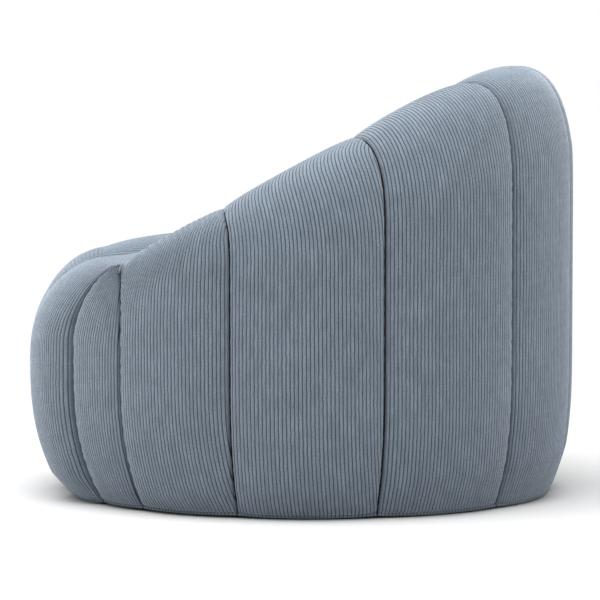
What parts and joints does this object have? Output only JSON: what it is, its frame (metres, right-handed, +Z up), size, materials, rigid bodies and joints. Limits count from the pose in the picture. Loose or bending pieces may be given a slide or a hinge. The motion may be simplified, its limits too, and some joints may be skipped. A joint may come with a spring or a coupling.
{
  "type": "bean bag chair",
  "caption": "Round, low bean bag armchair in wide-wale corduroy: vertical puffed panels, arms rising from the seat's front to a tall rounded back, zipped base and bead-filled liner.",
  "frame": {"origin": "on the floor, under the middle of the whole chair's bounding box", "axes": "+Z up; the seat opens to -Y, the back is at +Y, +X is the sitter's left"},
  "size_m": [0.8578, 0.8515, 0.655],
  "materials": {
    "corduroy": "matte, wide-wale corduroy pile",
    "base_fabric": "matte woven, non-slip",
    "liner_fabric": "plain woven polyester",
    "beads": "expanded polystyrene beads",
    "zip_tape": "woven tape",
    "zip_coil": "nylon coil",
    "zip_metal": "dark lacquered die-cast"
  },
  "bodies": {
    "chair": {"front_centre_panel": "corduroy", "back_centre_panel": "corduroy", "front_side_panel_left": "corduroy", "front_side_panel_right": "corduroy", "arm_gusset_panel_left": "corduroy", "arm_gusset_panel_right": "corduroy", "arm_front_panel_left": "corduroy", "arm_front_panel_right": "corduroy", "arm_middle_panel_left": "corduroy", "arm_middle_panel_right": "corduroy", "arm_rear_panel_left": "corduroy", "arm_rear_panel_right": "corduroy", "back_side_panel_left": "corduroy", "back_side_panel_right": "corduroy", "base_front_half": "base_fabric", "base_rear_half": "base_fabric", "liner_bag": "liner_fabric", "bead_filling": "beads", "cover_zip_tape_front": "zip_tape", "cover_zip_tape_rear": "zip_tape", "cover_zip_chain_front": "zip_coil", "cover_zip_chain_rear": "zip_coil", "cover_zip_top_stop": "zip_metal", "cover_zip_bottom_stop": "zip_metal", "liner_zip_tape_front": "zip_tape", "liner_zip_tape_rear": "zip_tape", "liner_zip_chain_front": "zip_coil", "liner_zip_chain_rear": "zip_coil", "liner_zip_top_stop": "zip_metal", "liner_zip_bottom_stop": "zip_metal"},
    "cover_slider": {"cover_zip_slider": "zip_metal"},
    "liner_slider": {"liner_zip_slider": "zip_metal"}
  },
  "joints": [
    {"name": "cover_zip_slide", "type": "slide", "parent": "chair", "child": "cover_slider", "axis": [1, 0, 0], "range_m": [-0.487, 0]},
    {"name": "liner_zip_slide", "type": "slide", "parent": "chair", "child": "liner_slider", "axis": [1, 0, 0], "range_m": [-0.387, 0]}
  ]
}
